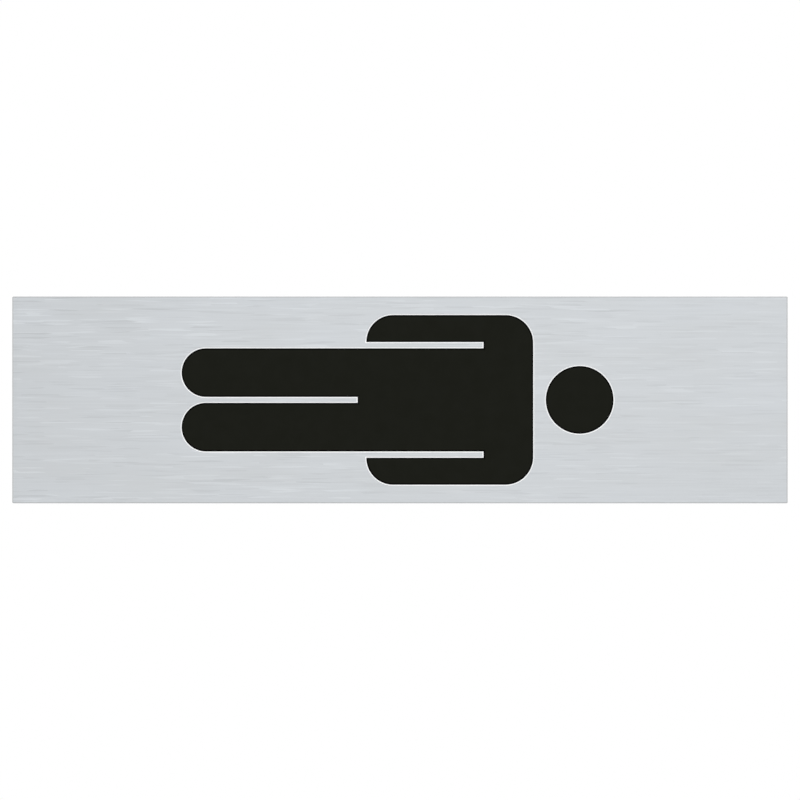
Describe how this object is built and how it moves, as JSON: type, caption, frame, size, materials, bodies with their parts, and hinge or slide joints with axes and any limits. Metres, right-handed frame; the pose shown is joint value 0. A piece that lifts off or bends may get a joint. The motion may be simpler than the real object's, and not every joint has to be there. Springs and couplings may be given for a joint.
{
  "type": "toilet door sign",
  "caption": "Flat brushed aluminium door plate with the plain figure of a man engraved into its face and filled black, stuck on by a foam pad.",
  "frame": {"origin": "middle of the foam pad's back, the face that sticks to the door", "axes": "+X along the plate's long side towards the head of the figure, +Y into the door, +Z along the short side. The plate is modelled on its long side, as the picture shows it. Turned so that +X points up, the figure stands"},
  "size_m": [0.165, 0.0025, 0.044],
  "materials": {
    "brushed_aluminium": "brushed along the plate's length, clear satin",
    "black_filling": "matt black signwriter's enamel, cured in the recess",
    "foam": "closed-cell foam with a clear adhesive film on both faces"
  },
  "bodies": {
    "root": {"sign_plate": "brushed_aluminium", "figure_inlay": "black_filling", "head_inlay": "black_filling", "adhesive_pad": "foam"}
  },
  "joints": []
}
